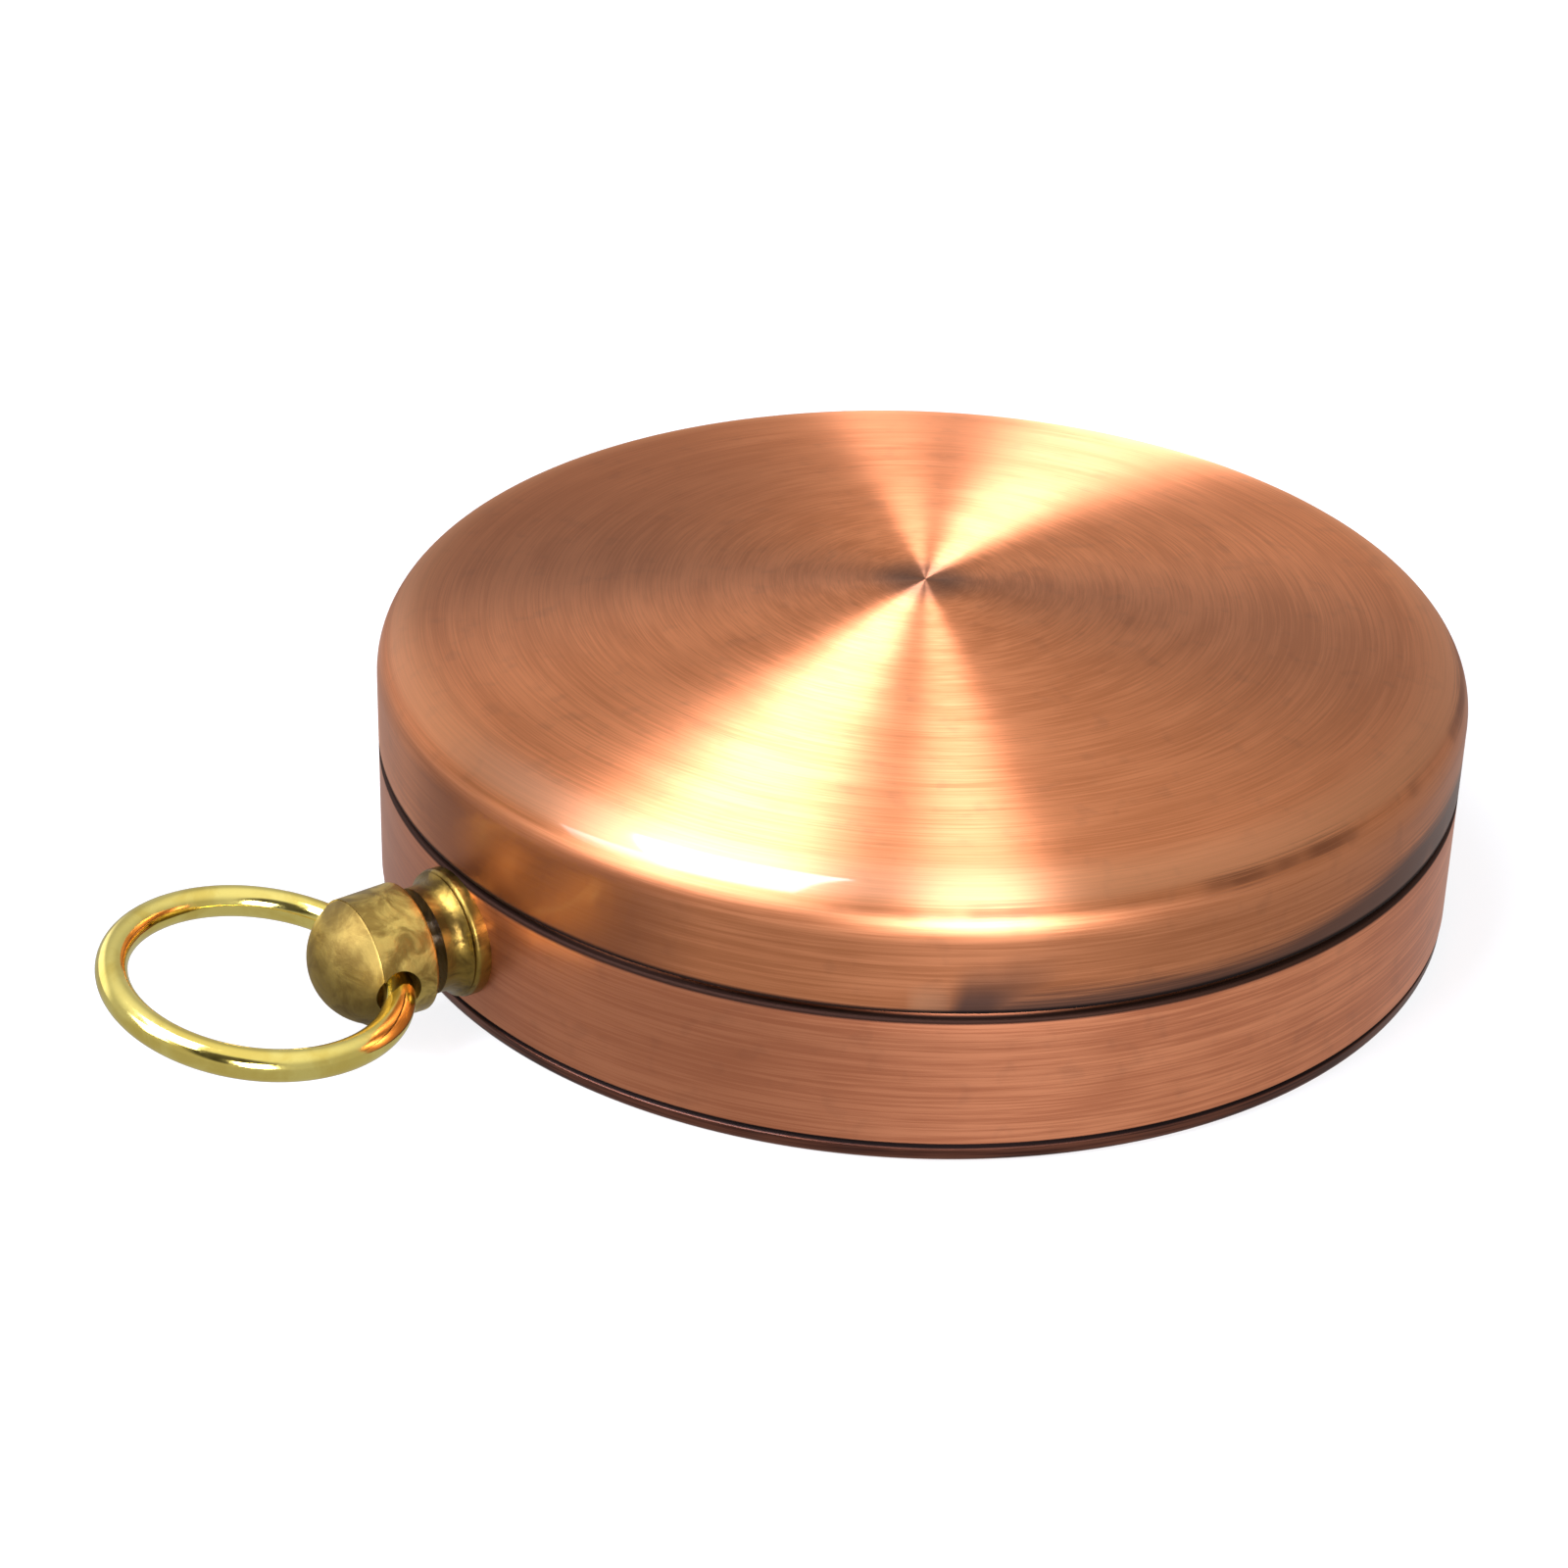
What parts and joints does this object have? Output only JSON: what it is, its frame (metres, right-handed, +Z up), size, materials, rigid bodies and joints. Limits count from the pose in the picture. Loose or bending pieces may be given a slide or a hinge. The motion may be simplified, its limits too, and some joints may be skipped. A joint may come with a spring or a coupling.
{
  "type": "pocket compass",
  "caption": "Round pocket compass in a brushed copper case with a domed hinged lid, a brass push crown and a wire ring for a cord",
  "frame": {"origin": "centre of the flat underside of the back cover, on the case axis", "axes": "+Z up through the lid, -Y out along the pendant and crown, +Y to the hinge"},
  "size_m": [0.045, 0.0615, 0.0134],
  "materials": {
    "lid_copper": "antique copper plate, spun brushed",
    "case_copper": "antique copper plate, brushed round the band",
    "brass": "bare yellow brass, lightly polished",
    "steel": "turned steel",
    "spring_steel": "hardened strip",
    "dial": "printed cream paint",
    "scale": "black with white degree marks",
    "needle": "red north half, pale south half",
    "jewel": "synthetic ruby",
    "glass": "clear mineral glass",
    "rubber": "black seal"
  },
  "bodies": {
    "case": {"case_band": "case_copper", "back_cover": "case_copper", "case_hinge_leaf": "case_copper", "hinge_pin": "steel", "pendant_collar": "brass", "lift_spring": "spring_steel", "spring_screws": "steel", "compass_cup": "brass", "dial_plate": "dial", "scale_ring": "scale", "pivot_post": "steel", "crystal": "glass", "crystal_gasket": "rubber", "crystal_bezel": "brass"},
    "lid": {"lid_shell": "lid_copper", "lid_hinge_leaf": "lid_copper"},
    "lock": {"lock_spring": "spring_steel"},
    "clip": {"stem_clip": "spring_steel"},
    "crown": {"crown_knob": "brass", "crown_stem": "steel"},
    "bow": {"bow_ring": "brass"},
    "needle": {"needle_blade": "needle", "needle_cap": "brass", "needle_jewel": "jewel"}
  },
  "joints": [
    {"name": "lid_hinge", "type": "hinge", "parent": "case", "child": "lid", "pos_m": [0, 0.02345, 0.00653], "axis": [-1, 0, 0], "range_deg": [0, 110]},
    {"name": "crown_press", "type": "slide", "parent": "case", "child": "clip", "axis": [0, 1, 0], "range_m": [0, 0.0005], "stiffness_N_per_m": 400, "springref_m": -0.0004},
    {"name": "crown_turn", "type": "hinge", "parent": "clip", "child": "crown", "pos_m": [0, -0.02635, 0.00383], "axis": [0, -1, 0], "continuous": true},
    {"name": "bow_swing", "type": "hinge", "parent": "crown", "child": "bow", "pos_m": [0, -0.02635, 0.00383], "axis": [-0.994, 0, 0.1097], "range_deg": [-107.5, 92.5]},
    {"name": "lock_turn", "type": "hinge", "parent": "case", "child": "lock", "pos_m": [0.01555, -0.01305, 0.005], "axis": [0, 0, -1], "range_deg": [-0.1, 2.6]},
    {"name": "needle_turn", "type": "hinge", "parent": "case", "child": "needle", "pos_m": [0, 0, 0.0045], "axis": [0, 0, 1], "continuous": true}
  ],
  "couplings": [
    {"joint": "lock_turn", "follows": "crown_press", "rad_per_m": 66.235}
  ]
}
